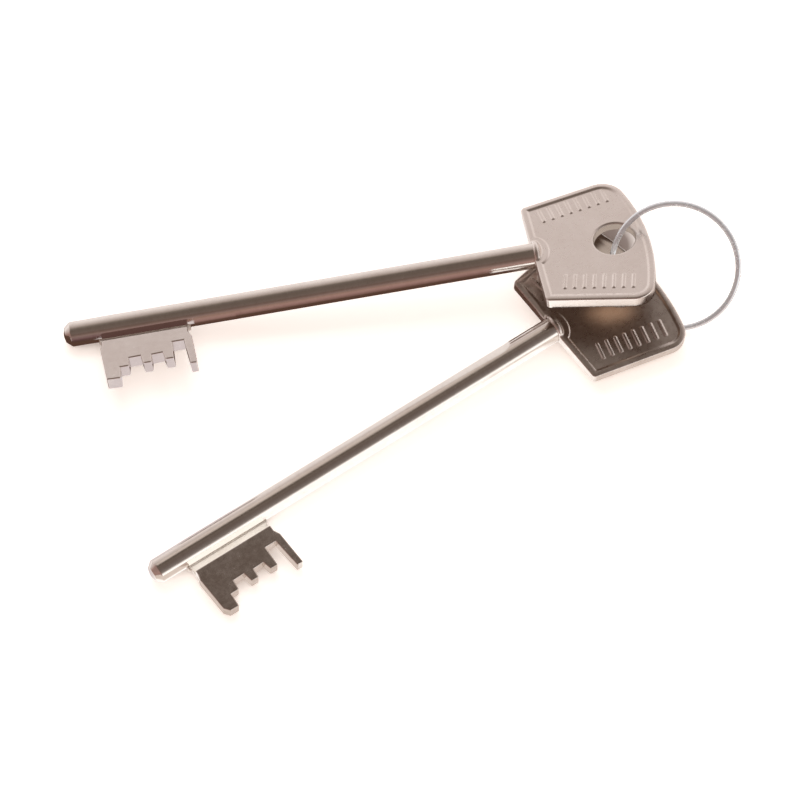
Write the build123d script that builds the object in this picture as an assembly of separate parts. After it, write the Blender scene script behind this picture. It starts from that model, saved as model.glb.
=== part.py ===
from build123d import *
import math
import os

# Two identical flag-bit safe keys, held together by one wire ring and lying on a flat surface.
# Millimetres, +Z up. X runs along the keys (stem tips at -X, ring at +X), Y points away from the front.
# The origin is on the surface, under the middle of the set's box.
# Each key has its own frame: u along the stem from the bow's edge to the tip, v towards the bit's side, w up.

# ---- driving dimensions ----
STEM_R = 2.5  # stem radius
STEM_L = 93.65  # bow edge to the stem's tip
TIP_CHAMFER = 0.9
PILOT_R = 2.33  # the end beyond the bit is turned down a little
STEM_IN_BOSS = 0.2  # round part of the stem that sits inside the boss
TANG_L = 9.0  # flattened tail, cast into the bow
TANG_W = 4.4
TANG_T = 1.2

# the bow's outline: each straight side as its slope and its distance from the stem's axis at u = 0
EDGE_U = 0.975  # the edge that faces the stem
EDGE_SKEW = 2.9  # degrees it sits out of square with the stem
SIDE_SLOPE = 0.2075  # each side opens by this much per mm
BIT_SIDE = 13.42
BACK_SIDE = 12.505
FAR_C = (21.14, 4.09)  # centre of the far end's arc
FAR_R = 43.13
BOW_T = 2.6  # over the rims
FIELD_T = 2.1  # between the rims
RIM_W = 1.1
CORNER_STEM = 1.0
CORNER_FAR_BIT = 3.95
CORNER_FAR_BACK = 4.9
HOLE_U = -15.2
HOLE_R = 4.1
HOLE_EDGE = 0.4
BOSS_R = 2.85  # a short domed collar round the stem's end
BOSS_U = 1.15  # its face, round the stem
BOSS_L = 0.75  # from u = 0 to where it runs out on the plate
PAD_U = 0.6  # a low elliptical pad, level with the rims, carries the collar
PAD_A, PAD_B = 2.8, 3.8
RIB_W = 0.7
RIB_L = 3.8
RIB_H = 0.2
RIB_PITCH = 1.85
RIB_N = 8
RIB_ROWS = ((-2.2, -9.2, -1), (-4.1, 9.3, 1))  # first rib's u and v, and the side that its row follows

BIT_T = 2.9
BIT_STEP = 4.4  # distance from the stem's axis to where the plate's full thickness begins
TONGUE_T = 1.05  # the bit's root is a thin tongue, flush with the plate's lower face
TONGUE_ROOT = 1.2  # distance from the stem's axis to the slot's floor

WIRE_R = 0.5
RING_R = 12.37  # centre line
RING_GAP = 0.15  # between the wire's two ends

# resting poses: point of the stem's axis at the bow's edge, heading of the stem, drop to the tip, roll about the stem
KEY_1 = dict(x=26.84, y=26.83, z=9.84, yaw=-171.44, roll=13.61)
KEY_2 = dict(x=30.18, y=13.77, z=4.10, yaw=-145.60, roll=-4.40)
RING_C = (53.57, 24.84, 9.0)
RING_N = (-0.184, -0.656, 0.732)
TIP_Z = 2.5
SHIFT = (-0.252, 1.411, -0.045)  # brings the middle of the box to the origin


def key_place(p):
    s = (TIP_Z - p["z"]) / STEM_L
    c = math.sqrt(1 - s * s)
    a = math.radians(p["yaw"])
    u = Vector(c * math.cos(a), c * math.sin(a), s)
    w = (Vector(0, 0, 1) - u * s).normalized()
    v = w.cross(u)
    r = math.radians(p["roll"])
    w2 = w * math.cos(r) - v * math.sin(r)
    o = Vector(p["x"], p["y"], p["z"]) + Vector(*SHIFT)
    return Location(Plane(origin=o, x_dir=u, z_dir=w2))


def bow_outline(inset=0.0):
    t = math.radians(EDGE_SKEW)
    edge = (Vector(math.cos(t), math.sin(t)), EDGE_U - inset)
    k = math.hypot(1, SIDE_SLOPE)
    bit = (Vector(SIDE_SLOPE, 1) / k, BIT_SIDE / k - inset)
    back = (Vector(SIDE_SLOPE, -1) / k, BACK_SIDE / k - inset)
    far = Vector(*FAR_C)
    far_r = FAR_R - inset

    def meet(l1, l2, r):
        # the point r inside both lines
        (n1, d1), (n2, d2) = l1, l2
        det = n1.X * n2.Y - n1.Y * n2.X
        return Vector(((d1 - r) * n2.Y - (d2 - r) * n1.Y) / det, (n1.X * (d2 - r) - n2.X * (d1 - r)) / det)

    def far_corner(line, r):
        # centre of the corner's arc, r inside the side and r inside the far arc
        n, d = line
        run = Vector(-n.Y, n.X) if n.Y > 0 else Vector(n.Y, -n.X)
        q = n * (d - r) - far
        b, c = q.dot(run), q.dot(q) - (far_r - r) ** 2
        return n * (d - r) + run * (-b + math.sqrt(b * b - c))

    r0 = max(CORNER_STEM - inset, 0)
    r1, r2 = CORNER_FAR_BIT - inset, CORNER_FAR_BACK - inset
    c0, c3 = meet(edge, bit, r0), meet(back, edge, r0)
    c1, c2 = far_corner(bit, r1), far_corner(back, r2)
    o1, o2 = (c1 - far).normalized(), (c2 - far).normalized()

    def corner(c, na, nb, r):
        if r > 0:
            ThreePointArc(c + na * r, c + (na + nb).normalized() * r, c + nb * r)

    with BuildSketch() as sk:
        with BuildLine():
            corner(c0, edge[0], bit[0], r0)
            Line(c0 + bit[0] * r0, c1 + bit[0] * r1)
            corner(c1, bit[0], o1, r1)
            ThreePointArc(far + o1 * far_r, far + (o1 + o2).normalized() * far_r, far + o2 * far_r)
            corner(c2, o2, back[0], r2)
            Line(c2 + back[0] * r2, c3 + back[0] * r0)
            corner(c3, back[0], edge[0], r0)
            Line(c3 + edge[0] * r0, c0 + edge[0] * r0)
        make_face()
    return sk.sketch


def tang():
    return Pos(-(STEM_IN_BOSS + TANG_L) / 2, 0, 0) * Box(TANG_L - STEM_IN_BOSS, TANG_W, TANG_T)


def make_bow():
    out = bow_outline()
    plate = extrude(Pos(0, 0, -BOW_T / 2) * out, BOW_T)
    field = bow_outline(RIM_W)
    deep = (BOW_T - FIELD_T) / 2
    plate -= extrude(Pos(0, 0, FIELD_T / 2) * field, deep + 1)
    plate -= extrude(Pos(0, 0, -FIELD_T / 2 - deep - 1) * field, deep + 1)
    with BuildSketch(Plane.XY) as prof:
        with BuildLine():
            Line((-0.5, 0), (BOSS_U, 0))
            Line((BOSS_U, 0), (BOSS_U, BOSS_R - 0.25))
            Line((BOSS_U, BOSS_R - 0.25), (BOSS_U - 0.25, BOSS_R))
            ThreePointArc((BOSS_U - 0.25, BOSS_R), (-0.30, 2.38), (-BOSS_L, 0.9))
            Line((-BOSS_L, 0.9), (-BOSS_L, 0))
            Line((-BOSS_L, 0), (-0.5, 0))
        make_face()
    boss = revolve(prof.sketch, Axis.X)
    pad = extrude(Pos(0, 0, -BOW_T / 2) * (out & Pos(PAD_U, 0) * Ellipse(PAD_A, PAD_B)), BOW_T)
    bow = plate + pad + boss
    ribs = []
    lean = math.degrees(math.atan(SIDE_SLOPE))
    for u0, v0, side in RIB_ROWS:
        for i in range(RIB_N):
            du, dv = -RIB_PITCH * i, side * SIDE_SLOPE * RIB_PITCH * i
            ribs.append(Pos(u0 + du, v0 + dv, 0) * Rot(0, 0, -side * lean) * Box(RIB_W, RIB_L, FIELD_T + 2 * RIB_H))
    for r in ribs:
        bow += r
    bore = Pos(HOLE_U, 0, 0) * Cylinder(HOLE_R, 10)
    bow -= bore
    rims = [e for e in bow.edges().filter_by(GeomType.CIRCLE) if abs(e.radius - HOLE_R) < 1e-4 and abs(abs(e.center().Z) - FIELD_T / 2) < 1e-3]
    bow = fillet(rims, HOLE_EDGE)
    bow -= Pos(-STEM_IN_BOSS / 2 + 1, 0, 0) * Rot(0, 90, 0) * Cylinder(STEM_R, STEM_IN_BOSS + 2)
    bow -= tang()
    return bow


def make_stem():
    rod = Pos((STEM_L - STEM_IN_BOSS) / 2, 0, 0) * Rot(0, 90, 0) * Cylinder(STEM_R, STEM_L + STEM_IN_BOSS)
    u0, u1 = BIT_UV[0][0], BIT_UV[-1][0]
    collar = Cylinder(STEM_R + 1, 20) - Cylinder(PILOT_R, 20)
    rod -= Pos(u0 + 10, 0, 0) * Rot(0, 90, 0) * collar
    tip = rod.edges().filter_by(GeomType.CIRCLE).sort_by(Axis.X)[-1]
    rod = chamfer(tip, TIP_CHAMFER)
    rod += tang()
    slot = Pos((u0 + u1) / 2, TONGUE_ROOT + 5, (TONGUE_T - BIT_T) / 2) * Box(abs(u1 - u0), 10, TONGUE_T)
    return rod - slot


BIT_UV = [
    (86.4, BIT_STEP), (86.45, 5.4), (86.75, 6.5), (86.15, 14.75), (83.4, 14.9), (83.3, 12.1), (81.6, 12.1),
    (81.45, 10.05), (79.1, 10.0), (78.7, 12.05), (77.15, 12.1), (77.0, 10.2), (74.8, 10.1), (74.35, 11.95),
    (72.75, 12.0), (72.75, 7.8), (70.45, 7.8), (69.75, 14.1), (68.4, 14.15), (68.85, 6.9), (69.5, 5.7), (69.5, BIT_STEP),
]


def make_bit(worn_corner):
    pts = list(BIT_UV)
    if worn_corner:
        i = pts.index((86.15, 14.75))
        pts[i : i + 1] = [(86.25, 13.75), (85.35, 14.85)]
    face = make_face(Polyline(*[(u, v, 0) for u, v in pts], close=True))
    body = extrude(Pos(0, 0, -BIT_T / 2) * face, BIT_T)
    inner = [e for e in body.edges().filter_by(Axis.Z) if any(abs(e.center().X - u) < 1e-3 and abs(e.center().Y - v) < 1e-3 for u, v in ((70.45, 7.8), (79.1, 10.0), (74.8, 10.1)))]
    body = fillet(inner, 0.4)
    u0, u1 = BIT_UV[0][0], BIT_UV[-1][0]
    v0, v1 = TONGUE_ROOT, BIT_STEP + 0.5
    return body + Pos((u0 + u1) / 2, (v0 + v1) / 2, (TONGUE_T - BIT_T) / 2) * Box(u0 - u1, v1 - v0, TONGUE_T)


def make_braze():
    # a fillet above the tongue and one below it
    strips = []
    for sgn, h, run, top, sag in ((1, TONGUE_T - BIT_T / 2, 1.5, 14.0, 0.28), (-1, BIT_T / 2, 0.9, 54.0, 0.11)):
        v0 = math.sqrt(STEM_R**2 - h**2)
        a = math.radians(top)
        p0, p1, p2 = (v0, h), (v0 + run, h), (STEM_R * math.cos(a), STEM_R * math.sin(a))
        a0 = math.atan2(h, v0)
        am = (a0 + a) / 2
        out = STEM_R / math.cos((a - a0) / 2)
        pm = (out * math.cos(am), out * math.sin(am))
        mid = ((p1[0] + p2[0]) / 2 - sag, (p1[1] + p2[1]) / 2 - sag)
        # section plane: local x = v, local y = w, normal along -u
        pl = Plane(origin=(BIT_UV[0][0], 0, 0), x_dir=(0, 1, 0), z_dir=(-1, 0, 0))
        # pl's own y direction
        ys = pl.y_dir.Z
        f = lambda p: (p[0], sgn * ys * p[1])
        with BuildSketch(pl) as sk:
            with BuildLine():
                Polyline(f(p0), f(p1), f(mid), f(p2), f(pm), close=True)
            make_face()
        strips.append(extrude(sk.sketch, BIT_UV[0][0] - BIT_UV[-1][0]))
    return Compound(children=strips)


def make_ring():
    n = Vector(*RING_N).normalized()
    c = Vector(*RING_C) + Vector(*SHIFT)
    x = Vector(1, 0, 0) - n * n.X
    pl = Plane(origin=c, x_dir=x, z_dir=n)
    joint = math.radians(-34.0)  # where the wire's ends meet, measured in the ring's plane
    half = RING_GAP / 2 / RING_R
    a0, a1 = joint + half, joint + 2 * math.pi - half
    pt = lambda a: pl.from_local_coords((RING_R * math.cos(a), RING_R * math.sin(a), 0))
    path = Edge.make_three_point_arc(pt(a0), pt((a0 + a1) / 2), pt(a1))
    sec = Plane(origin=path @ 0, z_dir=path % 0)
    return sweep(sec * Circle(WIRE_R), path=path)


def build():
    parts = {}
    bow, stem, braze = make_bow(), make_stem(), make_braze()
    for name, pose, worn in (("key_1", KEY_1, False), ("key_2", KEY_2, True)):
        loc = key_place(pose)
        parts[name + "_bow"] = loc * bow
        parts[name + "_stem"] = loc * stem
        parts[name + "_bit"] = loc * make_bit(worn)
        parts[name + "_braze"] = loc * braze
    parts["wire_ring"] = make_ring()
    return parts


if __name__ == "__main__":
    os.makedirs("parts", exist_ok=True)
    for node, shape in build().items():
        export_step(shape, f"parts/{node}.step")
    print("written")
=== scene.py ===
import math

import bpy
import numpy as np
from mathutils import Matrix, Vector


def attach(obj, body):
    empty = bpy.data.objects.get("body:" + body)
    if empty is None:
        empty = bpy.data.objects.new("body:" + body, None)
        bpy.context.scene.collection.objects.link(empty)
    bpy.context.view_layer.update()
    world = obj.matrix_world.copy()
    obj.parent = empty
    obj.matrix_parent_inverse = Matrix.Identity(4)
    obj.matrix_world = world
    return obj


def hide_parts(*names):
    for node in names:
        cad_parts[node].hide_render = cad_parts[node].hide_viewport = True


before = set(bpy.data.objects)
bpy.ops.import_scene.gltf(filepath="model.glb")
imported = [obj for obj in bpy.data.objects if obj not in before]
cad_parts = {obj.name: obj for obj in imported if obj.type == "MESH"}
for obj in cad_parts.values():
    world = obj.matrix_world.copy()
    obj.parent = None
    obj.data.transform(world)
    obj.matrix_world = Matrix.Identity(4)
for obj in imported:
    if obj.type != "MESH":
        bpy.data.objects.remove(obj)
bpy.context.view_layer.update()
MM = 0.001

# ---------------------------------------------------------------- places, as in the CAD
SHIFT = np.array((-0.252, 1.411, -0.045))
TIP_Z, STEM_L = 2.5, 93.65
POSES = {
    "key_1": dict(x=26.84, y=26.83, z=9.84, yaw=-171.44, roll=13.61),
    "key_2": dict(x=30.18, y=13.77, z=4.10, yaw=-145.60, roll=-4.40),
}
RING_C = np.array((53.57, 24.84, 9.0)) + SHIFT
RING_N = np.array((-0.184, -0.656, 0.732))
RING_R, WIRE_R, RING_GAP = 12.37, 0.5, 0.15
RING_JOINT = -34.0


def unit(v):
    v = np.asarray(v, float)
    return v / np.linalg.norm(v)


def key_axes(p):
    s = (TIP_Z - p["z"]) / STEM_L
    c = math.sqrt(1 - s * s)
    a = math.radians(p["yaw"])
    u = np.array((c * math.cos(a), c * math.sin(a), s))
    w = unit(np.array((0, 0, 1.0)) - u * s)
    v = np.cross(w, u)
    r = math.radians(p["roll"])
    w2 = w * math.cos(r) - v * math.sin(r)
    return np.array((p["x"], p["y"], p["z"])) + SHIFT, u, np.cross(w2, u), w2


def key_matrix(name):
    o, u, v, w = key_axes(POSES[name])
    m = Matrix.Identity(4)
    for i in range(3):
        m[i][0], m[i][1], m[i][2], m[i][3] = u[i], v[i], w[i], o[i] * MM
    return m


# ---------------------------------------------------------------- solids from distance fields
def net(fn, lo, hi, step, sweeps=4):
    """Vertices, quads and normals of the surface fn = 0 (fn < 0 inside), all in mm."""
    n = [int(math.ceil((hi[i] - lo[i]) / step)) + 1 for i in range(3)]
    ax = [lo[i] + step * np.arange(n[i]) for i in range(3)]
    f = np.empty(n, np.float32)
    gy, gz = np.meshgrid(ax[1], ax[2], indexing="ij")
    for i in range(0, n[0], 16):
        j = min(i + 16, n[0])
        gx = ax[0][i:j][:, None, None] + 0 * gy[None]
        f[i:j] = fn(gx, gy[None] + 0 * gx, gz[None] + 0 * gx)
    f[np.abs(f) < 1e-7] = 1e-7
    ins = f < 0
    cnt = np.zeros([k - 1 for k in n], np.int8)
    for a in (0, 1):
        for b in (0, 1):
            for c in (0, 1):
                cnt += ins[a : n[0] - 1 + a, b : n[1] - 1 + b, c : n[2] - 1 + c]
    act = (cnt > 0) & (cnt < 8)
    idx = np.full(act.shape, -1, np.int64)
    idx[act] = np.arange(act.sum())
    ci = np.argwhere(act)
    acc = np.zeros((len(ci), 3))
    num = np.zeros(len(ci))
    corner = [(a, b, c) for a in (0, 1) for b in (0, 1) for c in (0, 1)]
    for p in corner:
        for axis in range(3):
            if p[axis]:
                continue
            q = list(p)
            q[axis] = 1
            fa = f[ci[:, 0] + p[0], ci[:, 1] + p[1], ci[:, 2] + p[2]]
            fb = f[ci[:, 0] + q[0], ci[:, 1] + q[1], ci[:, 2] + q[2]]
            cross = (fa < 0) != (fb < 0)
            t = np.where(cross, fa / np.where(cross, fa - fb, 1), 0)
            pos = np.tile(np.array(p, float), (len(ci), 1))
            pos[:, axis] += t
            acc[cross] += pos[cross]
            num[cross] += 1
    v = np.array(lo) + (ci + acc / num[:, None]) * step
    quads = []
    for axis in range(3):
        a, b = [k for k in range(3) if k != axis]
        sl0, sl1 = [slice(None)] * 3, [slice(None)] * 3
        sl0[axis], sl1[axis] = slice(0, n[axis] - 1), slice(1, n[axis])
        ch = ins[tuple(sl0)] != ins[tuple(sl1)]
        e = np.argwhere(ch)
        e = e[(e[:, a] > 0) & (e[:, b] > 0) & (e[:, a] < n[a] - 1) & (e[:, b] < n[b] - 1)]
        cells = []
        for da, db in ((-1, -1), (0, -1), (0, 0), (-1, 0)):
            c = e.copy()
            c[:, a] += da
            c[:, b] += db
            cells.append(idx[c[:, 0], c[:, 1], c[:, 2]])
        q = np.stack(cells, 1)
        inside_first = ins[e[:, 0], e[:, 1], e[:, 2]]
        flip = inside_first if axis != 1 else ~inside_first
        q[~flip] = q[~flip][:, ::-1]
        quads.append(q)
    quads = np.concatenate(quads)

    def grad(p, h=0.01):
        g = np.empty_like(p)
        for k in range(3):
            d = np.zeros(3)
            d[k] = h
            a, b = p + d, p - d
            g[:, k] = (fn(a[:, 0], a[:, 1], a[:, 2]) - fn(b[:, 0], b[:, 1], b[:, 2])) / (2 * h)
        return g

    for _ in range(sweeps):
        g = grad(v)
        val = fn(v[:, 0], v[:, 1], v[:, 2])
        stepv = (val / np.maximum((g**2).sum(1), 0.05))[:, None] * g
        ln = np.linalg.norm(stepv, axis=1, keepdims=True)
        v -= stepv * np.minimum(1, 0.6 * step / np.maximum(ln, 1e-9))
    g = grad(v)
    nrm = g / np.maximum(np.linalg.norm(g, axis=1, keepdims=True), 1e-9)
    # faces point outwards
    d1, d2 = v[quads[:, 2]] - v[quads[:, 0]], v[quads[:, 3]] - v[quads[:, 1]]
    fnrm = np.cross(d1, d2)
    wrong = (fnrm * nrm[quads].sum(1)).sum(1) < 0
    quads[wrong] = quads[wrong][:, ::-1]
    return v, quads, nrm


def round_max(a, b, r):
    """Intersection of two solids with a rounded edge of radius r."""
    x, y = a + r, b + r
    return np.minimum(np.maximum(x, y), 0) + np.hypot(np.maximum(x, 0), np.maximum(y, 0)) - r


def smooth_min(a, b, k):
    """Union of two solids with a soft fillet."""
    h = np.maximum(k - np.abs(a - b), 0) / k
    return np.minimum(a, b) - h * h * k * 0.25


def smooth_step(lo, hi, x):
    t = np.clip((x - lo) / (hi - lo), 0, 1)
    return t * t * (3 - 2 * t)


def poly_dist(u, v, pts):
    """Signed distance to a polygon."""
    best = np.full(np.shape(u), 1e9)
    sign = np.ones(np.shape(u))
    m = len(pts)
    for i in range(m):
        (ax, ay), (bx, by) = pts[i - 1], pts[i]
        ex, ey = bx - ax, by - ay
        wx, wy = u - ax, v - ay
        t = np.clip((wx * ex + wy * ey) / (ex * ex + ey * ey), 0, 1)
        best = np.minimum(best, (wx - ex * t) ** 2 + (wy - ey * t) ** 2)
        c1, c2, c3 = v >= ay, v < by, ex * wy > ey * wx
        sign = np.where((c1 & c2 & c3) | (~c1 & ~c2 & ~c3), -sign, sign)
    return sign * np.sqrt(best)


def inset(pts, r):
    """The polygon with every side moved inwards by r."""
    area = sum(pts[i - 1][0] * pts[i][1] - pts[i][0] * pts[i - 1][1] for i in range(len(pts)))
    s = 1 if area > 0 else -1
    out = []
    for i in range(len(pts)):
        a, b, c = np.array(pts[i - 1]), np.array(pts[i]), np.array(pts[(i + 1) % len(pts)])
        d1, d2 = unit(b - a), unit(c - b)
        n1, n2 = s * np.array((-d1[1], d1[0])), s * np.array((-d2[1], d2[0]))
        k = 1 + n1 @ n2
        out.append(tuple(b + (n1 + n2) * r / k))
    return out


def mesh_object(name, v, faces, nrm=None, matrix=None, smooth=True):
    me = bpy.data.meshes.new(name)
    me.vertices.add(len(v))
    me.vertices.foreach_set("co", (np.asarray(v, np.float64) * MM).astype(np.float32).ravel())
    faces = [np.asarray(faces)] if not isinstance(faces, list) else [np.asarray(f) for f in faces]
    loops = np.concatenate([f.ravel() for f in faces]).astype(np.int32)
    sizes = np.concatenate([np.full(len(f), f.shape[1]) for f in faces]).astype(np.int32)
    me.loops.add(len(loops))
    me.loops.foreach_set("vertex_index", loops)
    me.polygons.add(len(sizes))
    starts = np.concatenate(([0], np.cumsum(sizes)[:-1])).astype(np.int32)
    me.polygons.foreach_set("loop_start", starts)
    me.update(calc_edges=True)
    me.validate()
    me.polygons.foreach_set("use_smooth", [smooth] * len(me.polygons))
    if nrm is not None:
        me.normals_split_custom_set_from_vertices([tuple(x) for x in nrm])
    ob = bpy.data.objects.new(name, me)
    bpy.context.scene.collection.objects.link(ob)
    if matrix is not None:
        ob.matrix_world = matrix
    return ob


# ---------------------------------------------------------------- the bow
EDGE_U, EDGE_SKEW, SIDE_SLOPE = 0.975, math.radians(2.9), 0.2075
BIT_SIDE, BACK_SIDE = 13.42, 12.505
FAR_C, FAR_R = np.array((21.14, 4.09)), 43.13
CORNER_STEM, CORNER_FAR_BIT, CORNER_FAR_BACK = 1.0, 3.95, 4.9
BOW_T, FIELD_T, RIM_W = 2.6, 2.1, 1.1
HOLE_U, HOLE_R = -15.2, 4.1
BOSS_U, PAD_U, PAD_A, PAD_B = 1.15, 0.6, 2.8, 3.8
STEM_IN_BOSS = 0.2
STEM_R = 2.5


def outline_parts():
    """The bow's outline as lines (ends, normal) and arcs (centre, radius, first and last normal)."""
    k = math.hypot(1, SIDE_SLOPE)
    edge = (np.array((math.cos(EDGE_SKEW), math.sin(EDGE_SKEW))), EDGE_U)
    bit = (np.array((SIDE_SLOPE, 1)) / k, BIT_SIDE / k)
    back = (np.array((SIDE_SLOPE, -1)) / k, BACK_SIDE / k)

    def meet(l1, l2, r):
        return np.linalg.solve(np.array((l1[0], l2[0])), np.array((l1[1] - r, l2[1] - r)))

    def far_corner(line, r):
        n, d = line
        run = np.array((-n[1], n[0])) if n[1] > 0 else np.array((n[1], -n[0]))
        q = n * (d - r) - FAR_C
        b, c = q @ run, q @ q - (FAR_R - r) ** 2
        return n * (d - r) + run * (-b + math.sqrt(b * b - c))

    r0, r1, r2 = CORNER_STEM, CORNER_FAR_BIT, CORNER_FAR_BACK
    c0, c3, c1, c2 = meet(edge, bit, r0), meet(back, edge, r0), far_corner(bit, r1), far_corner(back, r2)
    o1, o2 = unit(c1 - FAR_C), unit(c2 - FAR_C)
    return [
        ("arc", c0, r0, edge[0], bit[0]),
        ("line", c0 + bit[0] * r0, c1 + bit[0] * r1, bit[0]),
        ("arc", c1, r1, bit[0], o1),
        ("arc", FAR_C, FAR_R, o1, o2),
        ("arc", c2, r2, o2, back[0]),
        ("line", c2 + back[0] * r2, c3 + back[0] * r0, back[0]),
        ("arc", c3, r0, back[0], edge[0]),
        ("line", c3 + edge[0] * r0, c0 + edge[0] * r0, edge[0]),
    ]


OUTLINE = outline_parts()


def outline_dist(u, v):
    """Signed distance to the bow's outline: the nearest line or arc decides."""
    best = np.full(np.shape(u), 1e9)
    sign = np.full(np.shape(u), -1.0)
    for part in OUTLINE:
        if part[0] == "line":
            _, p, q, n = part
            e = q - p
            t = np.clip(((u - p[0]) * e[0] + (v - p[1]) * e[1]) / (e @ e), 0, 1)
            d = np.hypot(u - p[0] - e[0] * t, v - p[1] - e[1] * t)
            sg = np.where((u - p[0]) * n[0] + (v - p[1]) * n[1] > 0, 1.0, -1.0)
        else:
            _, c, r, n1, n2 = part
            rad = np.hypot(u - c[0], v - c[1])
            a1, a2 = math.atan2(n1[1], n1[0]), math.atan2(n2[1], n2[0])
            span = (a2 - a1) % (2 * math.pi)
            off = (np.arctan2(v - c[1], u - c[0]) - a1) % (2 * math.pi)
            d = np.where((off <= span + 1e-3) | (off >= 2 * math.pi - 1e-3), np.abs(rad - r), 1e9)
            sg = np.where(rad > r, 1.0, -1.0)
        near = d < best
        best = np.where(near, d, best)
        sign = np.where(near, sg, sign)
    return best * sign


RIB_ROWS = ((-2.2, -9.2, -1), (-4.1, 9.3, 1))
RIB_PITCH, RIB_N = 1.85, 8
LEAN = math.atan(SIDE_SLOPE)


def bow_height(u, v, d):
    """Half thickness of the plate: a flat field, a rim like a low bead, the stem's pad and the grip ribs."""
    x, y = (u - PAD_U) / PAD_A, v / PAD_B
    k0, k1 = np.hypot(x, y), np.hypot(x / PAD_A, y / PAD_B)
    pad = k0 * (1 - k0) / np.maximum(k1, 1e-6)
    h = FIELD_T / 2 + (BOW_T - FIELD_T) / 2 * np.maximum(smooth_step(-RIM_W - 0.50, -RIM_W + 0.15, d), smooth_step(-0.30, 0.12, pad))
    h = h - 0.15 * np.clip((d + 0.85) / 0.85, 0, 1.2) ** 2
    for u0, v0, side in RIB_ROWS:
        for i in range(RIB_N):
            x, y = u - (u0 - RIB_PITCH * i), v - (v0 + side * SIDE_SLOPE * RIB_PITCH * i)
            a = -side * LEAN
            du, dv = np.abs(x * math.cos(a) + y * math.sin(a)) - 0.12, np.abs(-x * math.sin(a) + y * math.cos(a)) - 1.62
            q = np.hypot(np.maximum(du, 0), np.maximum(dv, 0))
            h = h + 0.19 * (1 - smooth_step(0.0, 0.34, q))
    return h


def bow_field(u, v, w):
    d = outline_dist(u, v)
    h = bow_height(u, v, d)
    plate = round_max(d, np.abs(w) - h, 0.26)
    # a short domed collar round the stem's end
    x, r = u - 0.30, np.hypot(v, w)
    k0 = np.hypot(x / 1.25, r / 2.93)
    k1 = np.hypot(x / 1.25**2, r / 2.93**2)
    egg = np.where(k0 < 0.2, -0.25, k0 * (k0 - 1) / np.maximum(k1, 1e-6))
    boss = round_max(egg, u - BOSS_U + 0.38, 0.06)
    f = smooth_min(plate, boss, 0.35)
    # the fillet stays behind the edge and the boss's face
    f = np.maximum(f, np.minimum(np.maximum(d, np.abs(w) - BOW_T / 2), u - BOSS_U))
    hole = HOLE_R - np.hypot(u - HOLE_U, v)
    f = round_max(f, hole, 0.42)
    socket = np.maximum(r - (STEM_R - 0.01), -(u + STEM_IN_BOSS))
    return np.maximum(f, -socket)


bow_v, bow_q, bow_n = net(bow_field, (-23.4, -16.9, -3.5), (2.0, 17.9, 3.5), 0.14)

# ---------------------------------------------------------------- the bit
BIT_T, TONGUE_T, BIT_STEP = 2.9, 0.6, 4.4
BIT_UV = [
    (86.4, BIT_STEP), (86.45, 5.4), (86.75, 6.5), (86.15, 14.75), (83.4, 14.9), (83.3, 12.1), (81.6, 12.1),
    (81.45, 10.05), (79.1, 10.0), (78.7, 12.05), (77.15, 12.1), (77.0, 10.2), (74.8, 10.1), (74.35, 11.95),
    (72.75, 12.0), (72.75, 7.8), (70.45, 7.8), (69.75, 14.1), (68.4, 14.15), (68.85, 6.9), (69.5, 5.7), (69.5, BIT_STEP),
]


def bit_field(points, edge):
    small = inset(points, edge)

    def f(u, v, w):
        d = poly_dist(u, v, small) - edge
        plate = round_max(d, np.abs(w) - BIT_T / 2, edge)
        # the thin tongue at its root, flush with the lower face
        side = np.maximum(np.abs(u - 77.95) - 8.44, np.abs(v - 3.25) - 1.65)
        tongue = round_max(side, np.abs(w + (BIT_T - TONGUE_T) / 2) - TONGUE_T / 2, 0.12)
        return np.minimum(plate, tongue)

    return f


def bit_points(worn):
    pts = list(BIT_UV)
    if worn:
        i = pts.index((86.15, 14.75))
        pts[i : i + 1] = [(86.25, 13.75), (85.35, 14.85)]
    return pts


bits = {
    k: net(bit_field(bit_points(k == "key_2"), 0.24), (68.0, 1.2, -1.8), (87.4, 15.5, 1.8), 0.11)
    for k in POSES
}


# ---------------------------------------------------------------- turned and swept pieces
def lathe(profile, seg):
    """A solid of revolution about u. profile is (u, r) from one end to the other, both ends closed by a small fan."""
    a = np.linspace(0, 2 * math.pi, seg, endpoint=False)
    v = np.array([(u, r * math.cos(t), r * math.sin(t)) for u, r in profile for t in a])
    m = len(profile)
    q = []
    for i in range(m - 1):
        for j in range(seg):
            k = (j + 1) % seg
            q.append((i * seg + j, i * seg + k, (i + 1) * seg + k, (i + 1) * seg + j))
    v = np.concatenate((v, [(profile[0][0], 0, 0), (profile[-1][0], 0, 0)]))
    t = [(m * seg, (j + 1) % seg, j) for j in range(seg)]
    t += [(m * seg + 1, (m - 1) * seg + j, (m - 1) * seg + (j + 1) % seg) for j in range(seg)]
    q, t = np.array(q), np.array(t)
    # outwards
    p = v[q]
    fn = np.cross(p[:, 2] - p[:, 0], p[:, 3] - p[:, 1])
    c = p.mean(1)
    c[:, 0] = 0
    if ((fn * c).sum(1)).sum() < 0:
        q, t = q[:, ::-1], t[:, ::-1]
    return v, [q, t]


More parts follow.
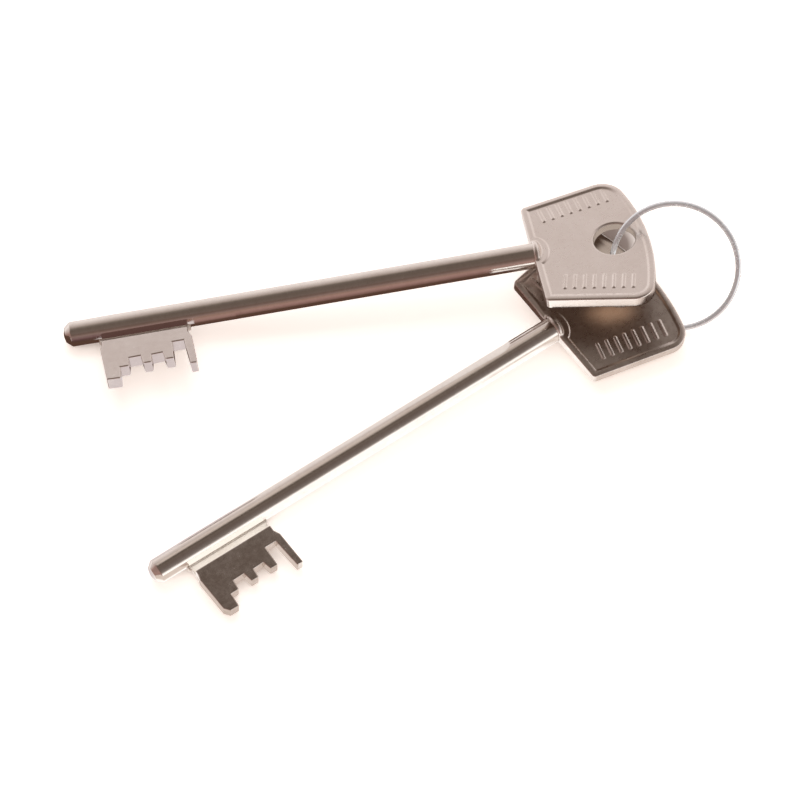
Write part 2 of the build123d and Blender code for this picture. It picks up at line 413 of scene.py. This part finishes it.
def rounded(points, radii, steps=6):
    """Replaces each inner corner of a profile by a small arc."""
    out = [points[0]]
    for i in range(1, len(points) - 1):
        a, b, c = (np.array(points[k], float) for k in (i - 1, i, i + 1))
        r = radii[i - 1]
        if r <= 0:
            out.append(tuple(b))
            continue
        d1, d2 = unit(a - b), unit(c - b)
        half = math.acos(np.clip(d1 @ d2, -1, 1)) / 2
        t = r / math.tan(half)
        p, q = b + d1 * t, b + d2 * t
        cen = b + unit(d1 + d2) * (r / math.sin(half))
        a0, a1 = math.atan2(*(p - cen)[::-1]), math.atan2(*(q - cen)[::-1])
        da = (a1 - a0 + math.pi) % (2 * math.pi) - math.pi
        for k in range(steps + 1):
            out.append((cen[0] + r * math.cos(a0 + da * k / steps), cen[1] + r * math.sin(a0 + da * k / steps)))
    out.append(points[-1])
    return out


def stem_profile():
    pts = [(-0.15, 1.2), (-0.15, STEM_R - 0.02), (92.2, STEM_R - 0.02), (93.35, 1.5), (93.6, 0.5)]
    body = rounded(pts, [0.05, 0.4, 0.3])
    # spread rings along the barrel, so the shading stays even
    out = []
    for p, q in zip(body, body[1:]):
        out.append(p)
        if q[0] - p[0] > 20:
            out += [(p[0] + (q[0] - p[0]) * k / 60, p[1]) for k in range(1, 60)]
    out.append(body[-1])
    # a touch slimmer past the bit
    return [(x, y - 0.05 * float(smooth_step(84.0, 90.0, x)) if x > 84 else y) for x, y in out]


stem_v, stem_f = lathe(stem_profile(), 160)


def ring_mesh(path_n=560, seg=28):
    n = unit(RING_N)
    x = unit(np.array((1.0, 0, 0)) - n * n[0])
    y = np.cross(n, x)
    j = math.radians(RING_JOINT)
    half = RING_GAP / 2 / RING_R
    th = np.linspace(j + half, j + 2 * math.pi - half, path_n)
    v = []
    for i, t in enumerate(th):
        rad = x * math.cos(t) + y * math.sin(t)
        c = rad * RING_R
        for k in range(seg):
            a = 2 * math.pi * k / seg
            v.append(c + (WIRE_R + 0.06) * (rad * math.cos(a) + n * math.sin(a)))
    # rounded ends
    v = np.array(v).reshape(path_n, seg, 3)
    rows = [r for r in v]
    for end, sgn in ((0, -1), (path_n - 1, 1)):
        t = th[end]
        rad = x * math.cos(t) + y * math.sin(t)
        tang = (-x * math.sin(t) + y * math.cos(t)) * sgn
        c = rad * RING_R
        cap = []
        for s, out in ((0.86, 0.035), (0.6, 0.055), (0.25, 0.06)):
            cap.append(c + tang * out + (v[end] - c) * s)
        if sgn < 0:
            rows = cap[::-1] + rows
        else:
            rows = rows + cap
    m = len(rows)
    pts = np.concatenate(rows)
    q = []
    for i in range(m - 1):
        for k in range(seg):
            l = (k + 1) % seg
            q.append((i * seg + k, (i + 1) * seg + k, (i + 1) * seg + l, i * seg + l))
    c0, c1 = rows[0].mean(0), rows[-1].mean(0)
    pts = np.concatenate((pts, [c0, c1]))
    t = [(m * seg, k, (k + 1) % seg) for k in range(seg)]
    t += [(m * seg + 1, (m - 1) * seg + (k + 1) % seg, (m - 1) * seg + k) for k in range(seg)]
    return pts, [np.array(q), np.array(t)]


# ---------------------------------------------------------------- braze: two fillets and small beads at their ends
def braze_field(u, v, w):
    r = np.hypot(v, w)
    cyl = r - STEM_R
    f = 1e3
    # concave fillets between the round stem and the tongue, above it and below it
    for slab, size, limit, ph in ((w - (TONGUE_T - BIT_T / 2), 0.24, -1.2 - w, 0.0), (-w - BIT_T / 2, 0.50, w + 1.0, 1.7)):
        size = size + 0.03 * np.sin(u * 1.7 + ph) + 0.03 * np.sin(u * 4.3 + 1.0 + ph)
        q = np.hypot(np.minimum(cyl - size, 0), np.minimum(slab - size, 0))
        fil = np.maximum(np.maximum(size - q, cyl - size), np.maximum(slab - size, limit))
        f = np.minimum(f, fil)
    # the filler runs on over the tongue up to the plate
    sheet = 0.20 + 0.02 * np.sin(u * 1.3) * np.sin(v * 2.1 + u * 0.7)
    f = np.minimum(f, np.maximum(np.abs(w - (TONGUE_T - BIT_T / 2)) - sheet, v - BIT_STEP - 0.1))
    f = np.maximum(np.maximum(f - 0.045, np.abs(u - 77.95) - 8.45), 1.2 - v)
    for cu, s in ((86.6, 0.34), (69.3, 0.36)):
        d = np.sqrt(((u - cu) / 0.42) ** 2 + ((v - 2.55) / 0.6) ** 2 + ((w + 1.0) / 0.6) ** 2)
        f = smooth_min(f, (d - 1) * s, 0.18)
    return f


braze_v, braze_q, braze_n = net(braze_field, (68.0, 1.0, -2.9), (87.9, 4.7, 1.7), 0.09, sweeps=3)


# ---------------------------------------------------------------- materials
def new_material(name):
    m = bpy.data.materials.new(name)
    m.use_nodes = True
    nt = m.node_tree
    nt.nodes.clear()
    out = nt.nodes.new("ShaderNodeOutputMaterial")
    b = nt.nodes.new("ShaderNodeBsdfPrincipled")
    nt.links.new(b.outputs[0], out.inputs[0])
    return m, nt, b


def node(nt, kind, **kw):
    n = nt.nodes.new(kind)
    for k, val in kw.items():
        setattr(n, k, val)
    return n


def noise(nt, coord, scale, detail=3.0, rough=0.55, dist=0.0):
    n = node(nt, "ShaderNodeTexNoise")
    n.inputs["Scale"].default_value = scale
    n.inputs["Detail"].default_value = detail
    n.inputs["Roughness"].default_value = rough
    n.inputs["Distortion"].default_value = dist
    nt.links.new(coord, n.inputs["Vector"])
    return n.outputs[0]


def ramp(nt, fac, stops):
    r = node(nt, "ShaderNodeValToRGB")
    e = r.color_ramp.elements
    while len(e) < len(stops):
        e.new(0.5)
    for el, (p, c) in zip(e, stops):
        el.position = p
        el.color = (*c, 1) if len(c) == 3 else c
    nt.links.new(fac, r.inputs[0])
    return r.outputs[0]


def mixc(nt, fac, a, b, mode="MIX"):
    m = node(nt, "ShaderNodeMix", data_type="RGBA", blend_type=mode)
    if isinstance(fac, (int, float)):
        m.inputs[0].default_value = fac
    else:
        nt.links.new(fac, m.inputs[0])
    for s, val in ((6, a), (7, b)):
        if isinstance(val, tuple):
            m.inputs[s].default_value = (*val, 1)
        else:
            nt.links.new(val, m.inputs[s])
    return m.outputs[2]


def maprange(nt, val, a, b, c, d):
    m = node(nt, "ShaderNodeMapRange")
    for i, x in enumerate((a, b, c, d), 1):
        m.inputs[i].default_value = x
    nt.links.new(val, m.inputs[0])
    return m.outputs[0]


def math_node(nt, op, a, b):
    m = node(nt, "ShaderNodeMath", operation=op)
    for i, x in enumerate((a, b)):
        if isinstance(x, (int, float)):
            m.inputs[i].default_value = x
        else:
            nt.links.new(x, m.inputs[i])
    return m.outputs[0]


def mapped(nt, offset=(0, 0, 0), scale=(1, 1, 1)):
    tc = node(nt, "ShaderNodeTexCoord")
    mp = node(nt, "ShaderNodeMapping")
    mp.inputs["Location"].default_value = offset
    mp.inputs["Scale"].default_value = scale
    nt.links.new(tc.outputs["Object"], mp.inputs["Vector"])
    return mp.outputs[0]


def bump(nt, height, strength, distance, normal=None):
    b = node(nt, "ShaderNodeBump")
    b.inputs["Strength"].default_value = strength
    b.inputs["Distance"].default_value = distance
    nt.links.new(height, b.inputs["Height"])
    if normal is not None:
        nt.links.new(normal, b.inputs["Normal"])
    return b.outputs[0]


def nickel(name, light, dark, rough_lo, rough_hi, seed, stretch=(1, 1, 1), pits=0.5, peel=0.3, grain=0.2, streak=0.0, metal=1.0):
    """Warm nickel plate: drifting tone, plating pits, orange peel and fine handling scratches."""
    m, nt, b = new_material(name)
    off = (seed * 0.37, seed * 0.11, seed * 0.23)
    co = mapped(nt, off)
    st = mapped(nt, off, stretch)
    big = noise(nt, co, 160, 3)
    mid = noise(nt, co, 900, 4, 0.6)
    fine = noise(nt, co, 5200, 3, 0.6)
    tone = ramp(nt, math_node(nt, "ADD", math_node(nt, "MULTIPLY", big, 0.55), math_node(nt, "MULTIPLY", mid, 0.45)), [(0.36, dark), (0.62, light)])
    # pits: the low ends of a fine noise
    pit = ramp(nt, noise(nt, co, 3400, 2, 0.5), [(0.30, (0, 0, 0)), (0.40, (1, 1, 1))])
    spot = ramp(nt, noise(nt, co, 1500, 2, 0.5), [(0.26, (0.55, 0.50, 0.46)), (0.36, (1, 1, 1))])
    col = mixc(nt, pits * 0.6, tone, spot, "MULTIPLY")
    nt.links.new(col, b.inputs["Base Color"])
    line = noise(nt, st, 1.0, 4, 0.65)
    r = math_node(nt, "ADD", math_node(nt, "MULTIPLY", mid, 0.6), math_node(nt, "MULTIPLY", line, 0.4))
    nt.links.new(maprange(nt, r, 0.32, 0.68, rough_lo, rough_hi), b.inputs["Roughness"])
    n1 = bump(nt, mid, peel, 0.00004)
    n2 = bump(nt, fine, grain, 0.00001, n1)
    n3 = bump(nt, pit, pits, 0.000018, n2)
    if streak:
        n3 = bump(nt, line, streak, 0.00001, n3)
    nt.links.new(n3, b.inputs["Normal"])
    b.inputs["Metallic"].default_value = metal
    return m


MATS = {}
# painted shade: the lower key's bow and bit take a darker dark tone than the upper key's, for the shade it lies in
# under the upper key
for i, k in enumerate(POSES):
    MATS[k, "bow"] = nickel("nickel_bow_%d" % (i + 1), (0.85, 0.79, 0.745), (0.79 - 0.10 * i, 0.725 - 0.10 * i, 0.675 - 0.10 * i), 0.25, 0.33, 3 + 5 * i, (900, 900, 900), pits=0.16, peel=0.12, grain=0.08)
    MATS[k, "stem"] = nickel("nickel_stem_%d" % (i + 1), (0.82, 0.77, 0.72), (0.76, 0.70, 0.65), 0.10, 0.17, 11 + 5 * i, (300, 4000, 4000), pits=0.22, peel=0.10, grain=0.08, streak=0.12)
    MATS[k, "bit"] = nickel("nickel_bit_%d" % (i + 1), (0.80, 0.75, 0.71), (0.74 - 0.12 * i, 0.68 - 0.13 * i, 0.64 - 0.14 * i), 0.20, 0.28, 17 + 5 * i, (500, 3000, 3000), pits=0.12, peel=0.10, grain=0.10, streak=0.2)
    MATS[k, "braze"] = nickel("braze_%d" % (i + 1), (0.90, 0.84, 0.78), (0.80, 0.73, 0.66), 0.34, 0.50, 23 + 5 * i, (900, 900, 900), pits=0.3, peel=0.3, grain=0.2, metal=0.45)
MATS["ring"] = nickel("bright_wire", (0.90, 0.945, 0.985), (0.84, 0.88, 0.92), 0.22, 0.30, 31, (300, 300, 300), pits=0.0, peel=0.0, grain=0.0, metal=0.60)

# ---------------------------------------------------------------- pieces on their bodies
for k in POSES:
    mtx = key_matrix(k)
    made = {
        "bow": mesh_object(k + "_bow_detail", bow_v, bow_q, bow_n, mtx),
        "stem": mesh_object(k + "_stem_detail", stem_v, stem_f, None, mtx),
        "bit": mesh_object(k + "_bit_detail", *bits[k], mtx),
        "braze": mesh_object(k + "_braze_detail", braze_v, braze_q, braze_n, mtx),
    }
    for part, ob in made.items():
        ob.data.materials.append(MATS[k, part])
        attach(ob, k)
        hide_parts("%s_%s" % (k, part))

rp, rf = ring_mesh()
ring = mesh_object("wire_ring_detail", rp, rf, None, Matrix.Translation(Vector(RING_C * MM)))
ring.data.materials.append(MATS["ring"])
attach(ring, "ring")
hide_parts("wire_ring")

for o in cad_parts.values():
    k = o.name.rsplit("_", 1)
    mat = MATS.get((k[0], k[-1]), MATS["ring"])
    o.data.materials.clear()
    o.data.materials.append(mat)

# ---------------------------------------------------------------- camera
ELEV, DIST = math.radians(61.16), 804.3
cam_data = bpy.data.cameras.new("camera")
cam_data.lens = 186.75
cam_data.sensor_width = 36
cam_data.sensor_fit = "HORIZONTAL"
cam_data.clip_start, cam_data.clip_end = 0.01, 20
cam = bpy.data.objects.new("camera", cam_data)
bpy.context.scene.collection.objects.link(cam)
fwd = np.array((0, math.cos(ELEV), -math.sin(ELEV)))
up = np.array((0, math.sin(ELEV), math.cos(ELEV)))
pos = SHIFT - fwd * DIST
cm = Matrix.Identity(4)
for i in range(3):
    cm[i][0], cm[i][1], cm[i][2], cm[i][3] = (1.0, 0, 0)[i], up[i], -fwd[i], pos[i] * MM
cam.matrix_world = cm
bpy.context.scene.camera = cam


# ---------------------------------------------------------------- stage: floor, surroundings, lights
def plane(name, size, z, mat):
    me = bpy.data.meshes.new(name)
    s = size / 2
    me.from_pydata([(-s, -s, 0), (s, -s, 0), (s, s, 0), (-s, s, 0)], [], [(0, 1, 2, 3)])
    me.materials.append(mat)
    ob = bpy.data.objects.new(name, me)
    ob.location = (0, 0, z)
    bpy.context.scene.collection.objects.link(ob)
    return ob


floor_mat, nt, b = new_material("pale_floor")
b.inputs["Base Color"].default_value = (0.90, 0.90, 0.90, 1)
b.inputs["Roughness"].default_value = 0.7
b.inputs["Specular IOR Level"].default_value = 0.0
b.inputs["Emission Color"].default_value = (1.0, 0.88, 0.79, 1)
b.inputs["Emission Strength"].default_value = 0.62
floor_tree, floor_shader = nt, b
floor = plane("floor", 8.0, -0.0002, floor_mat)
floor.visible_glossy = False

# painted reflection of the table, seen only in the plating: painted light in front of the lower key and behind the
# upper one, painted shade between them
see_mat = bpy.data.materials.new("table_glow")
see_mat.use_nodes = True
nt = see_mat.node_tree
nt.nodes.clear()
out = node(nt, "ShaderNodeOutputMaterial")
em = node(nt, "ShaderNodeEmission")
nt.links.new(em.outputs[0], out.inputs[0])
tc = node(nt, "ShaderNodeTexCoord")


def level_axes(key):
    """A key's place on the table: origin, direction to the tip and direction to the front, all level."""
    o, u, v, w = key_axes(POSES[key])
    along = unit((u[0], u[1], 0))
    front = np.array((along[1], -along[0], 0))
    return o, along, -front if front[1] > 0 else front


def floor_coord(key, which):
    """Distance along (1) or in front of (2) a key's stem, in metres, as a node value."""
    axes = level_axes(key)
    dot = node(nt, "ShaderNodeVectorMath", operation="DOT_PRODUCT")
    dot.inputs[1].default_value = tuple(axes[which])
    nt.links.new(tc.outputs["Object"], dot.inputs[0])
    return math_node(nt, "SUBTRACT", dot.outputs["Value"], float((axes[0] * MM) @ axes[which]))


def both(a, b):
    return math_node(nt, "MULTIPLY", a, b)


a1, d1, a2, d2 = floor_coord("key_1", 1), floor_coord("key_1", 2), floor_coord("key_2", 1), floor_coord("key_2", 2)
# painted reflection: a slightly dimmer band beside the upper key's bit, and painted shade close in front of the upper
# key's stem and tip
beside_bit1 = both(maprange(nt, d1, 0.0075, 0.0095, 0, 1), both(maprange(nt, a1, 0.066, 0.068, 0, 1), maprange(nt, a1, 0.087, 0.088, 1, 0)))
near1 = both(maprange(nt, d1, -0.0085, -0.0035, 0, 1), maprange(nt, d1, 0.012, 0.0125, 1, 0))
near1 = math_node(nt, "MAXIMUM", near1, both(maprange(nt, a1, 0.0870, 0.0875, 0, 1), both(maprange(nt, d1, -0.004, 0.0, 0, 1), maprange(nt, d1, 0.019, 0.020, 1, 0))))
near1 = both(near1, maprange(nt, beside_bit1, 0, 1, 1, 0))
glow = mixc(nt, beside_bit1, (1.02, 0.96, 0.95), (0.84, 0.77, 0.79))
glow = mixc(nt, near1, glow, (0.11, 0.058, 0.042))
# painted light on the table in front of the lower key, warmer near its bow and beside its bit
front2 = maprange(nt, d2, -0.001, 0.003, 0, 1)
beside_bit2 = both(maprange(nt, a2, 0.067, 0.070, 0, 1), maprange(nt, d2, 0.003, 0.005, 0, 1))
warm = both(front2, math_node(nt, "MAXIMUM", maprange(nt, a2, -0.001, 0.003, 1, 0), beside_bit2))
glow = mixc(nt, front2, glow, (1.45, 1.42, 1.40))
glow = mixc(nt, warm, glow, (0.86, 0.75, 0.69))
o, u, v, w = key_axes(POSES["key_1"])
under_bow = (o + u * HOLE_U) * MM


def from_bow(lo, hi):
    """0 on the table under the upper bow, 1 away from it: the mask of the painted shade under the upper bow."""
    far = node(nt, "ShaderNodeVectorMath", operation="DISTANCE")
    far.inputs[1].default_value = (under_bow[0] - 0.001, under_bow[1] + 0.006, 0)
    nt.links.new(tc.outputs["Object"], far.inputs[0])
    return maprange(nt, far.outputs["Value"], lo, hi, 0, 1)


# painted shade on the reflected table under the upper bow
glow = mixc(nt, from_bow(0.006, 0.009), (0.16, 0.115, 0.09), glow)
# a pale warm oval of painted reflection for the upper bow's near wall
mp = node(nt, "ShaderNodeMapping", vector_type="TEXTURE")
mp.inputs["Location"].default_value = (0.0425, -0.0062, 0)
mp.inputs["Scale"].default_value = (0.0165, 0.0042, 1.0)
nt.links.new(tc.outputs["Object"], mp.inputs["Vector"])
oval = node(nt, "ShaderNodeVectorMath", operation="LENGTH")
nt.links.new(mp.outputs[0], oval.inputs[0])
glow = mixc(nt, maprange(nt, oval.outputs["Value"], 0.8, 1.15, 1, 0), glow, (0.98, 0.86, 0.78))
nt.links.new(glow, em.inputs[0])
see = plane("floor_glow", 0.30, -0.0006, see_mat)

# painted shade on the floor: its glow and its colour darken in narrow gaps, by ambient occlusion, and on a patch under
# the upper bow
nt = floor_tree
tc = node(nt, "ShaderNodeTexCoord")
gap = node(nt, "ShaderNodeAmbientOcclusion")
gap.inputs["Distance"].default_value = 0.006
gap.samples = 8
lit = both(maprange(nt, gap.outputs["AO"], 0.0, 0.42, 0, 1), from_bow(0.0042, 0.0074))
nt.links.new(mixc(nt, lit, (0.03, 0.02, 0.015), (1.0, 0.88, 0.79)), floor_shader.inputs["Emission Color"])
nt.links.new(mixc(nt, lit, (0.50, 0.43, 0.40), (0.90, 0.90, 0.90)), floor_shader.inputs["Base Color"])
see.visible_camera = see.visible_diffuse = see.visible_shadow = see.visible_transmission = False

# pale backdrop, seen only by the camera
back_mat = bpy.data.materials.new("backdrop")
back_mat.use_nodes = True
bn = back_mat.node_tree
bn.nodes.clear()
bo = bn.nodes.new("ShaderNodeOutputMaterial")
be = bn.nodes.new("ShaderNodeEmission")
be.inputs[0].default_value = (1, 1, 1, 1)
bn.links.new(be.outputs[0], bo.inputs[0])
bpy.ops.mesh.primitive_uv_sphere_add(segments=48, ring_count=24, radius=6.0)
dome = bpy.context.object
dome.name = "backdrop"
dome.data.materials.append(back_mat)
dome.visible_diffuse = dome.visible_glossy = dome.visible_shadow = dome.visible_transmission = False

# surroundings: a broad pale light behind, dim above and in front
world = bpy.data.worlds.new("studio")
bpy.context.scene.world = world
world.use_nodes = True
wt = world.node_tree
wt.nodes.clear()
wo = node(wt, "ShaderNodeOutputWorld")
bg = node(wt, "ShaderNodeBackground")
wt.links.new(bg.outputs[0], wo.inputs[0])
wtc = node(wt, "ShaderNodeTexCoord")
sep = node(wt, "ShaderNodeSeparateXYZ")
wt.links.new(wtc.outputs["Generated"], sep.inputs[0])
X, Y, Z = sep.outputs
flat = math_node(wt, "SQRT", math_node(wt, "ADD", math_node(wt, "MULTIPLY", X, X), math_node(wt, "MULTIPLY", Y, Y)), 0)
cosaz = math_node(wt, "DIVIDE", Y, math_node(wt, "MAXIMUM", flat, 0.02))
z01 = maprange(wt, Z, -1, 1, 0, 1)
sinaz = math_node(wt, "DIVIDE", X, math_node(wt, "MAXIMUM", flat, 0.02))
behind = ramp(wt, z01, [(0.0, (1.0, 0.94, 0.93)), (0.43, (1.0, 0.94, 0.94)), (0.62, (0.93, 0.85, 0.82)), (0.76, (0.74, 0.66, 0.64)), (0.86, (0.58, 0.51, 0.48)), (0.93, (0.40, 0.335, 0.30)), (0.975, (0.20, 0.165, 0.145)), (1.0, (0.155, 0.12, 0.10))])
front = ramp(wt, z01, [(0.0, (0.08, 0.05, 0.04)), (0.27, (0.14, 0.075, 0.062)), (0.38, (0.25, 0.15, 0.13)), (0.50, (0.38, 0.24, 0.21)), (0.62, (0.42, 0.27, 0.24)), (0.72, (0.31, 0.21, 0.19)), (0.80, (0.22, 0.15, 0.13)), (0.87, (0.17, 0.115, 0.095)), (0.93, (0.18, 0.135, 0.117)), (1.0, (0.155, 0.12, 0.10))])
right = ramp(wt, z01, [(0.0, (1.45, 1.42, 1.40)), (0.61, (1.45, 1.43, 1.42)), (0.66, (0.95, 0.90, 0.88)), (0.705, (0.42, 0.38, 0.35)), (0.75, (0.25, 0.215, 0.20)), (0.87, (0.19, 0.155, 0.14)), (0.94, (0.16, 0.125, 0.11)), (1.0, (0.155, 0.12, 0.10))])
az_back = maprange(wt, cosaz, -0.15, 0.50, 0, 1)
toward = math_node(wt, "ADD", math_node(wt, "MULTIPLY", sinaz, 0.883), math_node(wt, "MULTIPLY", cosaz, -0.469))
az_right = maprange(wt, toward, 0.76, 0.90, 0, 1)
c1 = mixc(wt, az_right, front, right)
c2 = mixc(wt, az_back, c1, behind)
# a dim patch high behind, over the lower bow
dim = node(wt, "ShaderNodeVectorMath", operation="DOT_PRODUCT")
dim.inputs[1].default_value = (0.117, 0.322, 0.940)
wt.links.new(wtc.outputs["Generated"], dim.inputs[0])
c3 = mixc(wt, maprange(wt, dim.outputs["Value"], 0.955, 0.99, 0, 0.62), c2, (0.10, 0.075, 0.06))
wt.links.new(c3, bg.inputs[0])
bg.inputs[1].default_value = 1.0


def area(name, loc, target, size, power, color=(1, 1, 1), glossy=False):
    ld = bpy.data.lights.new(name, "AREA")
    ld.shape = "RECTANGLE"
    ld.size, ld.size_y = size
    ld.energy = power
    ld.color = color
    ob = bpy.data.objects.new(name, ld)
    ob.location = loc
    ob.rotation_euler = (Vector(target) - Vector(loc)).to_track_quat("-Z", "Y").to_euler()
    bpy.context.scene.collection.objects.link(ob)
    ob.visible_glossy = glossy
    ob.visible_camera = False
    return ob


area("softbox_back", (-0.15, 0.6, 0.9), (0, 0, 0), (0.9, 0.7), 3.6)
area("softbox_top", (0.0, -0.1, 1.1), (0, 0, 0), (1.4, 1.4), 4.4)


def sky(az, el, dist=0.8):
    a, e = math.radians(az), math.radians(el)
    return (dist * math.cos(e) * math.sin(a), dist * math.cos(e) * math.cos(a), dist * math.sin(e))


def strip_light(name, az, el, size, glow, pieces):
    """A soft light that only the named pieces see."""
    ob = area(name, sky(az, el), (0, 0, 0), size, glow * math.pi * size[0] * size[1], (1.0, 0.90, 0.83), glossy=True)
    group = bpy.data.collections.new(name + "_on")
    for piece in pieces:
        group.objects.link(bpy.data.objects[piece])
    ob.light_linking.receiver_collection = group


strip_light("strip_wide", -3, 57, (0.42, 0.40), 0.15, ["key_2_stem_detail"])
strip_light("strip_narrow", -1, 62, (0.42, 0.24), 0.15, ["key_2_stem_detail"])
strip_light("strip_edge", 10, 70, (0.42, 0.16), 0.08, ["key_2_stem_detail"])


# painted reflection: cards between the stems, seen only in reflections; dark on the side of the upper key for painted
# shade, pale on the side of the lower one for painted light
def card(name, key, u0, u1, ahead, low0, low1, high, mat):
    o, u, v, w = key_axes(POSES[key])
    front = level_axes(key)[2]
    upw = np.cross(u, front)
    upw = upw if upw[2] > 0 else -upw
    me = bpy.data.meshes.new(name)
    me.from_pydata([(u0 * MM, 0, low0 * MM), (u1 * MM, 0, low1 * MM), (u1 * MM, 0, high * MM), (u0 * MM, 0, high * MM)], [], [(0, 1, 2, 3)])
    me.materials.append(mat)
    ob = bpy.data.objects.new(name, me)
    m = Matrix.Identity(4)
    at = o + front * ahead
    for i in range(3):
        m[i][0], m[i][1], m[i][2], m[i][3] = u[i], front[i], upw[i], at[i] * MM
    ob.matrix_world = m
    bpy.context.scene.collection.objects.link(ob)
    ob.visible_camera = ob.visible_diffuse = ob.visible_shadow = ob.visible_transmission = False
    return ob


def card_mat(name, stops):
    m = bpy.data.materials.new(name)
    m.use_nodes = True
    t = m.node_tree
    t.nodes.clear()
    mo, me = node(t, "ShaderNodeOutputMaterial"), node(t, "ShaderNodeEmission")
    t.links.new(me.outputs[0], mo.inputs[0])
    co = node(t, "ShaderNodeTexCoord")
    sp = node(t, "ShaderNodeSeparateXYZ")
    t.links.new(co.outputs["Object"], sp.inputs[0])
    t.links.new(ramp(t, maprange(t, sp.outputs[2], -0.010, 0.010, 0, 1), stops), me.inputs[0])
    return m


dim_card = card_mat("card_dim", [(0.1, (0.13, 0.07, 0.055)), (0.35, (0.27, 0.155, 0.135)), (0.5, (0.37, 0.22, 0.20)), (0.64, (0.40, 0.25, 0.215)), (0.78, (0.33, 0.21, 0.17)), (0.9, (0.24, 0.16, 0.14))])
tip_card = card_mat("card_tip", [(0.35, (0.10, 0.05, 0.045)), (0.5, (0.13, 0.07, 0.065)), (0.64, (0.22, 0.13, 0.13)), (0.78, (0.25, 0.17, 0.16))])
pale_card = card_mat("card_pale", [(0.0, (1.0, 0.94, 0.93)), (0.6, (0.96, 0.90, 0.88)), (1.0, (0.86, 0.80, 0.78))])
for nm, u0, u1, low0, low1, mat in (("long", 9, 68.1, -10.2, -5.0, dim_card), ("tip", 87.1, 97, -3.6, -3.2, tip_card)):
    card("card_%s_front" % nm, "key_1", u0, u1, 12.0, low0, low1, 6.5, mat)
    card("card_%s_back" % nm, "key_1", u0, u1, 12.3, low0, low1, 6.5, pale_card)
# painted shade: a small dark card close in front of the upper key's stem, just before its bit, seen only in reflections
near_card = card_mat("card_near", [(0.40, (0.13, 0.07, 0.055)), (0.45, (0.27, 0.155, 0.135)), (0.5, (0.37, 0.22, 0.20)), (0.564, (0.40, 0.25, 0.215)), (0.629, (0.33, 0.21, 0.17))])
card("card_near_front", "key_1", 60, 68.3, 5.2, -5.6, -4.9, 2.7, near_card)



def key_card(name, key, corners, mat):
    """A small card in a key's own axes, seen only by reflections."""
    me = bpy.data.meshes.new(name)
    me.from_pydata([tuple(np.array(c) * MM) for c in corners], [], [(0, 1, 2, 3)])
    me.materials.append(mat)
    ob = bpy.data.objects.new(name, me)
    ob.matrix_world = key_matrix(key)
    bpy.context.scene.collection.objects.link(ob)
    ob.visible_camera = ob.visible_diffuse = ob.visible_shadow = ob.visible_transmission = False


# painted reflection between each stem and its bit, seen only in reflections: a dark card for painted shade on the upper
# key, a glowing card for a painted highlight on the lower one
root_1 = card_mat("card_root_dim", [(0.40, (0.10, 0.053, 0.047)), (0.60, (0.14, 0.078, 0.068))])
root_2 = card_mat("card_root_bright", [(0.40, (1.30, 1.27, 1.20)), (0.60, (1.34, 1.31, 1.24))])
for k, mat in (("key_1", root_1), ("key_2", root_2)):
    key_card("card_root_" + k, k, [(u, v, w) for u, v, w in ((69.5, 4.36, 1.40), (86.4, 4.36, 1.40), (86.4, 2.75, -0.62), (69.5, 2.75, -0.62))], mat)

# painted reflection under the upper bow, seen only by the lower bow's face: painted shade, with a faint warm painted
# glow below the hole
under_mat = bpy.data.materials.new("card_under")
under_mat.use_nodes = True
nt = under_mat.node_tree
nt.nodes.clear()
uo, ue, tc = node(nt, "ShaderNodeOutputMaterial"), node(nt, "ShaderNodeEmission"), node(nt, "ShaderNodeTexCoord")
nt.links.new(ue.outputs[0], uo.inputs[0])
# a faint warm oval of painted glow below the hole
mp = node(nt, "ShaderNodeMapping", vector_type="TEXTURE")
mp.inputs["Location"].default_value = (-0.0138, 0.0096, -0.00175)
mp.inputs["Scale"].default_value = (0.0056, 0.0021, 1.0)
nt.links.new(tc.outputs["Object"], mp.inputs["Vector"])
far = node(nt, "ShaderNodeVectorMath", operation="LENGTH")
nt.links.new(mp.outputs[0], far.inputs[0])
under = mixc(nt, maprange(nt, far.outputs["Value"], 0.35, 1.1, 1, 0), (0.062, 0.037, 0.026), (0.50, 0.32, 0.215))
# painted light where the upper bow's hole lets light through
hole_far = node(nt, "ShaderNodeVectorMath", operation="DISTANCE")
hole_far.inputs[1].default_value = (HOLE_U * MM, 0, -0.00175)
nt.links.new(tc.outputs["Object"], hole_far.inputs[0])
nt.links.new(mixc(nt, maprange(nt, hole_far.outputs["Value"], 0.0036, 0.0048, 1, 0), under, (0.52, 0.45, 0.40)), ue.inputs[0])
edge = [(u, BIT_SIDE - SIDE_SLOPE * u + 0.9, -1.75) for u in (-0.5, -22.0)]
key_card("card_under_bow", "key_1", [edge[0], edge[1], (-22.0, -13.0, -1.75), (-0.5, -11.5, -1.75)], under_mat)

sc = bpy.context.scene
sc.view_settings.view_transform = "Standard"
sc.view_settings.look = "None"
sc.view_settings.exposure = 0.0
sc.view_settings.gamma = 1.0

bpy.context.view_layer.update()
